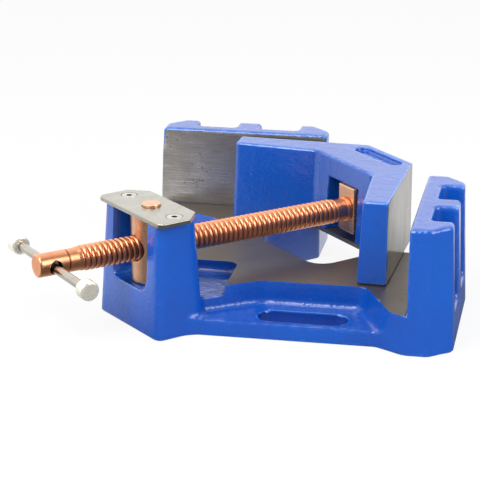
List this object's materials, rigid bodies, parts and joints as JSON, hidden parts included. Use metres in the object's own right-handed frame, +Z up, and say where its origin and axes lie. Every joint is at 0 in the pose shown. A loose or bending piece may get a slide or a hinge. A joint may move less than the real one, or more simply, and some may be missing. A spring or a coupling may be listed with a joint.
{
  "type": "welding angle vise",
  "caption": "Two-axis welding vise: cast right-angle base with fixed jaws and a screw-driven V jaw that swings and shifts to fit the work.",
  "frame": {"origin": "on the flat underside of the casting, on the vertical axis that the nut turns about", "axes": "+Z up from the underside; +X along the face of one fixed jaw and +Y along the face of the other, both towards their open corner; the screw points between +X and +Y"},
  "size_m": [0.3129, 0.3107, 0.088],
  "materials": {
    "blue_paint": "gloss",
    "plated_steel": "brushed",
    "copper_plate": "satin",
    "bright_steel": "polished"
  },
  "bodies": {
    "base": {"body_casting": "blue_paint", "top_plate": "plated_steel", "plate_screw_left": "bright_steel", "plate_screw_right": "bright_steel"},
    "nut": {"trunnion_nut": "copper_plate"},
    "block": {"swivel_block": "copper_plate", "cross_pin_left": "bright_steel", "cross_pin_right": "bright_steel"},
    "screw": {"screw_spindle": "copper_plate"},
    "handle": {"handle_bar": "bright_steel", "bar_knob_left": "bright_steel", "bar_knob_right": "bright_steel"},
    "v_jaw": {"moving_jaw": "blue_paint", "keeper_plate": "bright_steel", "keeper_screw_left": "bright_steel", "keeper_screw_right": "bright_steel"}
  },
  "joints": [
    {"name": "nut_swing", "type": "hinge", "parent": "base", "child": "nut", "pos_m": [0, 0, 0], "axis": [0, 0, 1], "range_deg": [-1, 4.5]},
    {"name": "jaw_travel", "type": "slide", "parent": "nut", "child": "block", "axis": [0.749, 0.6626, 0], "range_m": [-0.124, 0.01]},
    {"name": "screw_turn", "type": "hinge", "parent": "block", "child": "screw", "pos_m": [0, 0, 0.0552], "axis": [0.749, 0.6626, 0], "range_deg": [-11200, 950]},
    {"name": "bar_slide", "type": "slide", "parent": "screw", "child": "handle", "axis": [-0.6626, 0.749, 0], "range_m": [-0.037, 0.037]},
    {"name": "jaw_shift", "type": "slide", "parent": "block", "child": "v_jaw", "axis": [-0.6626, 0.749, 0], "range_m": [-0.008, 0.0012]}
  ],
  "couplings": [
    {"joint": "screw_turn", "follows": "jaw_travel", "rad_per_m": 1570.8}
  ]
}
